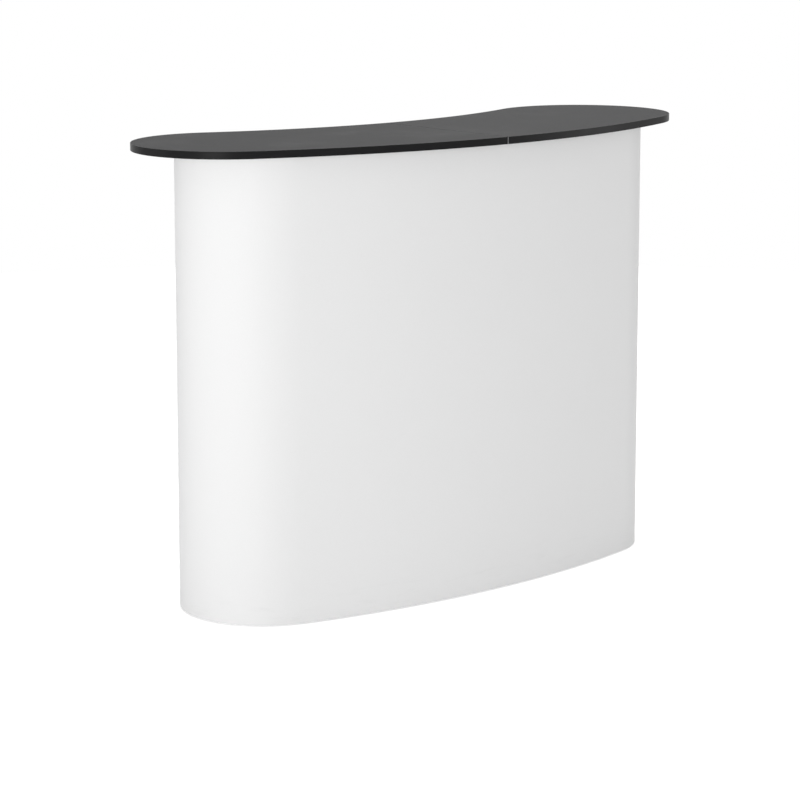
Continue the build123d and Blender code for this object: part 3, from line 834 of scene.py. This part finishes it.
class COUNTER_OT_posts(bpy.types.Operator):
    """Posts, rungs and end plugs of the three ladder frames"""

    bl_idname = "counter.posts"
    bl_label = "Posts, rungs and plugs"

    def execute(self, context):
        sizes, colours = settings(context)
        posts = [f"{name}_{post}" for name in FRAMES for post in ("front_post", "rear_post")]
        collar_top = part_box("centre_collar")[1].z
        paint(posts, post_metal(colours.tube, collar_top, collar_top + sizes.rub_fade))
        stretch = (500.0, 6.0, 500.0)
        metal = drawn_metal("rung_metal", colours.tube, stretch, roughness=(0.32, 0.44))
        plug = foot_rubber(colours.plug)
        for name, body in FRAMES.items():
            for level in LEVELS:
                node = f"{name}_{level}_rung"
                softened(node, f"{node}_tube", body, metal, sizes.rung_rounding)
            node = f"{name}_post_plugs"
            softened(node, f"{name}_plugs", body, plug, sizes.moulding_rounding)
        return {"FINISHED"}


class COUNTER_OT_joints(bpy.types.Operator):
    """Moulded joints with recessed sleeves, and the screws that clamp the rungs in them"""

    bl_idname = "counter.joints"
    bl_label = "Joints and their screws"

    def execute(self, context):
        sizes, colours = settings(context)
        black = colours.moulding
        plastic = moulded("frame_moulding", black, scale=1300.0, roughness=(0.56, 0.4), relief=0.00006)
        steel = plated_steel(colours.steel)
        for name, body in FRAMES.items():
            self.mouldings(sizes, name, body, plastic)
            self.screws(sizes, name, body, steel)
        return {"FINISHED"}

    def mouldings(self, sizes, name, body, material):
        """A frame's joints, with a recess in the outer sides of their sleeves."""
        node = f"{name}_joints"
        bm = merged_copy(node)
        round_edges(bm, sizes.moulding_rounding)
        low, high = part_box(f"{name}_mid_rung")
        beside = (high.x - low.x) / 2 + sizes.sleeve_wall / 2
        x = middle_of(f"{name}_front_post").x
        sides = [face for face in bm.faces if abs(face.normal.x) > SIDE_ON]
        outer = [face for face in sides if abs(face.calc_center_median().x - x) > beside]
        for flank in [face for face in outer if face.calc_area() > sizes.flank_area]:
            bmesh.ops.inset_region(bm, faces=[flank], thickness=sizes.recess_margin, depth=0)
            bmesh.ops.inset_region(
                bm, faces=[flank], thickness=sizes.recess_depth / 2, depth=-sizes.recess_depth
            )
        finished(bm, f"{name}_joint_mouldings", body, [material], [node])

    def screws(self, sizes, name, body, material):
        """The screws on both sides of each sleeve of a frame."""
        bm = bmesh.new()
        front = middle_of(f"{name}_front_post")
        rear = middle_of(f"{name}_rear_post")
        for level in LEVELS:
            low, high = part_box(f"{name}_{level}_rung")
            reach = (high.x - low.x) / 2 + sizes.sleeve_wall - sizes.recess_depth
            for y in (front.y + sizes.screw_set_in, rear.y - sizes.screw_set_in):
                for way in SIDES.values():
                    x = front.x + way * reach
                    place = toward((x, y, (low.z + high.z) / 2), (way, 0, 0))
                    turned(bm, socket_head(sizes.screw_radius, sizes.screw_height), place)
        finished(bm, f"{name}_joint_screws", body, [material])


class COUNTER_OT_braces(bpy.types.Operator):
    """Crossed braces and the domed rivets that join them"""

    bl_idname = "counter.braces"
    bl_label = "Braces and rivets"

    def execute(self, context):
        sizes, colours = settings(context)
        steel = bpy.data.materials["plated_steel"]
        start = middle_of("centre_front_post")
        hub = middle_of("centre_hub").z
        collar = middle_of("left_collar").z
        looks = {
            "stretch": (6.0, 600.0, 600.0),
            "roughness": (0.32, 0.44),
            "dark": 0.92,
            "light": 1.06,
            "worn": 0.85,
        }
        for side in SIDES:
            chord = middle_of(f"{side}_front_post") - start
            chord.z = 0
            along = chord.normalized()
            near = start + along * sizes.pivot_offset
            far = start + chord - along * sizes.pivot_offset
            middle = start + chord / 2
            places = {
                "brace_a": [(far, collar), (near, hub), (middle, (hub + collar) / 2)],
                "brace_b": [(near, collar), (far, hub)],
            }
            slope = math.atan2(hub - collar, (far - near).length)
            for name, pivots in places.items():
                node = f"{side}_{name}"
                lean = slope if name == "brace_b" else -slope
                turns = ((0, 0, -math.atan2(along.y, along.x)), (0, lean, 0))
                metal = drawn_metal(f"{node}_metal", colours.brace, turns=turns, **looks)
                softened(node, f"{node}_bar", node, metal, sizes.bar_rounding)
                self.rivets(sizes, node, pivots, along, steel)
        return {"FINISHED"}

    def rivets(self, sizes, node, pivots, along, material):
        """Rivets at the pivots of a brace, with a dome on either side."""
        bm = bmesh.new()
        across = along.cross(Vector((0, 0, 1)))
        half = sizes.brace_gap / 2 + sizes.brace_thickness + sizes.rivet_clearance
        front = dome(sizes.rivet_radius, sizes.rivet_rise, half, 1)
        back = dome(sizes.rivet_radius, sizes.rivet_rise, -half, -1)
        shank = [(sizes.rivet_shank, -half), (sizes.rivet_shank, half)]
        rings = back[::-1] + shank + front
        for pivot, level in pivots:
            turned(bm, rings, toward((pivot.x, pivot.y, level), across))
        finished(bm, f"{node}_rivet_heads", node, [material], [f"{node}_rivets"])


class COUNTER_OT_hubs(bpy.types.Operator):
    """Hubs and sliding collars on the front posts"""

    bl_idname = "counter.hubs"
    bl_label = "Hubs and collars"

    def execute(self, context):
        rounding = context.scene.counter_sizes.hub_rounding
        plastic = bpy.data.materials["frame_moulding"]
        for name, frame_body in FRAMES.items():
            for node, body in ((f"{name}_hub", frame_body), (f"{name}_collar", f"{name}_collar")):
                softened(node, f"{node}_moulding", body, plastic, rounding)
        return {"FINISHED"}


class COUNTER_OT_knob(bpy.types.Operator):
    """Lobed knob that clamps the centre collar"""

    bl_idname = "counter.knob"
    bl_label = "Clamping knob"

    def execute(self, context):
        sizes, colours = settings(context)
        grip = moulded("knob_grip", colours.knob, scale=1600.0, roughness=(0.52, 0.36), relief=0.00005)
        softened("lock_knob", "knob_grip", "lock_knob", grip, sizes.knob_rounding)
        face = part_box("lock_knob")[1].y
        middle = middle_of("lock_knob")
        bm = bmesh.new()
        radius = sizes.knob_cap_radius
        rise = sizes.knob_cap_rise
        rings = [(radius * width, rise * height, CAP_CORNERS) for width, height in CAP_SHARES]
        turned(bm, rings, toward((middle.x, face - rise * CAP_SUNK_SHARE, middle.z), (0, 1, 0)))
        finished(bm, "knob_cap", "lock_knob", [bpy.data.materials["plated_steel"]])
        return {"FINISHED"}


class COUNTER_OT_seam_plate(bpy.types.Operator):
    """Seam plate with its socket screws and locating pegs"""

    bl_idname = "counter.seam_plate"
    bl_label = "Seam plate"

    def execute(self, context):
        sizes, colours = settings(context)
        steel = bpy.data.materials["plated_steel"]
        stretch = (500.0, 5.0, 500.0)
        metal = drawn_metal("plate_metal", colours.plate, stretch, roughness=(0.3, 0.42))
        paint(["seam_plate"], metal)
        paint(["locating_pegs", "shelf_pins"], steel)
        low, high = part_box("seam_plate_screws")
        inset = sizes.plate_screw_radius
        shank = sizes.plate_screw_radius / 2
        head = sizes.plate_screw_height
        bm = bmesh.new()
        for x in (low.x + inset, high.x - inset):
            for y in (low.y + inset, high.y - inset):
                place = Matrix.Translation((x, y, high.z - head))
                rings = [(shank, head - sizes.plate_screw_length), (shank, 0)]
                turned(bm, rings + socket_head(sizes.plate_screw_radius, head), place)
        finished(bm, "plate_screws", "centre_frame", [steel], ["seam_plate_screws"])
        return {"FINISHED"}


class COUNTER_OT_shelves(bpy.types.Operator):
    """Half shelves: laminated boards with edging"""

    bl_idname = "counter.shelves"
    bl_label = "Shelves"

    def execute(self, context):
        sizes, colours = settings(context)
        board = shelf_laminate(colours.shelf)
        tint = colours.shelf_edge
        edge = moulded("shelf_edging", tint, scale=1400.0, roughness=(0.44, 0.34), relief=0.00002)
        for node in [f"{side}_{shelf}" for side in SIDES for shelf in ("mid_shelf", "base_shelf")]:
            bm = merged_copy(node)
            round_edges(bm, sizes.shelf_rounding)
            for face in bm.faces:
                face.material_index = 0 if abs(face.normal.z) > UPWARD else 1
            finished(bm, f"{node}_board", node, [board, edge], [node])
        return {"FINISHED"}


class COUNTER_OT_stage(bpy.types.Operator):
    """Plain floor, soft lamps, even white surroundings and the camera"""

    bl_idname = "counter.stage"
    bl_label = "Studio"

    def execute(self, context):
        studio = context.scene.counter_studio
        self.floor(context, studio)
        self.surroundings(context, studio.around_level)
        for name, (turn, rise) in LAMPS.items():
            level = getattr(studio, f"{name}_level")
            self.lamp(studio, f"{name}_lamp", math.radians(turn), math.radians(rise), level)
        self.camera(context, studio)
        context.scene.view_settings.view_transform = "Standard"
        return {"FINISHED"}

    def floor(self, context, studio):
        """A round floor, so that no straight edge of it shows."""
        mesh = bpy.data.meshes.new("floor")
        bm = bmesh.new()
        bmesh.ops.create_circle(bm, cap_ends=True, segments=FLOOR_CORNERS, radius=studio.floor_radius)
        bm.to_mesh(mesh)
        bm.free()
        floor = placed("floor", mesh)
        mesh.materials.append(studio_floor(context.scene.counter_colours.floor, studio.floor_glow))

    def surroundings(self, context, level):
        """White where it is seen directly or in gloss, and an even dim light elsewhere."""
        world = bpy.data.worlds.new("studio")
        context.scene.world = world
        world.use_nodes = True
        tree = world.node_tree
        strength = ranged(tree, seen_directly(tree), 0.0, 1.0, level, 1.0)
        values = {"Color": (1.0, 1.0, 1.0, 1.0), "Strength": strength}
        feed(tree, tree.nodes["Background"].inputs, values)

    def lamp(self, studio, name, turn, rise, level):
        """A square soft lamp. Its level is the share of white that it gives a white face."""
        away = Vector((math.sin(turn) * math.cos(rise), -math.cos(turn) * math.cos(rise), math.sin(rise)))
        light = bpy.data.lights.new(name, "AREA")
        light.size = studio.lamp_size
        light.energy = level * (math.pi * studio.lamp_distance) ** 2
        lamp = placed(name, light)
        middle = (cad_box[0] + cad_box[1]) / 2
        lamp.matrix_world = toward(middle + away * studio.lamp_distance, away)
        lamp.visible_camera = False

    def camera(self, context, studio):
        """The camera, turned and tilted as in the settings."""
        view = bpy.data.cameras.new("camera")
        view.lens = studio.lens
        view.shift_y = -studio.camera_shift
        camera = placed("camera", view)
        camera.location = studio.camera_place
        camera.rotation_euler = (HALF_TURN / 2 - studio.camera_pitch, 0, -studio.camera_yaw)
        context.scene.camera = camera


class COUNTER_PT_panel(bpy.types.Panel):
    """Lists the counter's pieces and settings."""

    bl_label = "Counter"
    bl_idname = "COUNTER_PT_panel"
    bl_space_type = "VIEW_3D"
    bl_region_type = "UI"
    bl_category = "Counter"

    def draw(self, context):
        for operator in OPERATORS:
            self.layout.operator(operator.bl_idname)
        for key in SETTINGS:
            group = getattr(context.scene, key)
            box = self.layout.box()
            for name in group.__annotations__:
                box.prop(group, name)


OPERATORS = (
    COUNTER_OT_panel,
    COUNTER_OT_panel_fittings,
    COUNTER_OT_half_tops,
    COUNTER_OT_posts,
    COUNTER_OT_joints,
    COUNTER_OT_braces,
    COUNTER_OT_hubs,
    COUNTER_OT_knob,
    COUNTER_OT_seam_plate,
    COUNTER_OT_shelves,
    COUNTER_OT_stage,
)
SETTINGS = {
    "counter_sizes": CounterSizes,
    "counter_colours": CounterColours,
    "counter_studio": CounterStudio,
}
CLASSES = (*SETTINGS.values(), *OPERATORS, COUNTER_PT_panel)


def register():
    for kind in CLASSES:
        bpy.utils.register_class(kind)
    for key, kind in SETTINGS.items():
        setattr(bpy.types.Scene, key, PointerProperty(type=kind))


def unregister():
    for key in SETTINGS:
        delattr(bpy.types.Scene, key)
    for kind in reversed(CLASSES):
        bpy.utils.unregister_class(kind)


def main():
    """Builds the pieces in order."""
    register()
    bpy.ops.counter.panel()
    bpy.ops.counter.panel_fittings()
    bpy.ops.counter.half_tops()
    bpy.ops.counter.posts()
    bpy.ops.counter.joints()
    bpy.ops.counter.braces()
    bpy.ops.counter.hubs()
    bpy.ops.counter.knob()
    bpy.ops.counter.seam_plate()
    bpy.ops.counter.shelves()
    bpy.ops.counter.stage()


if __name__ == "__main__":
    main()
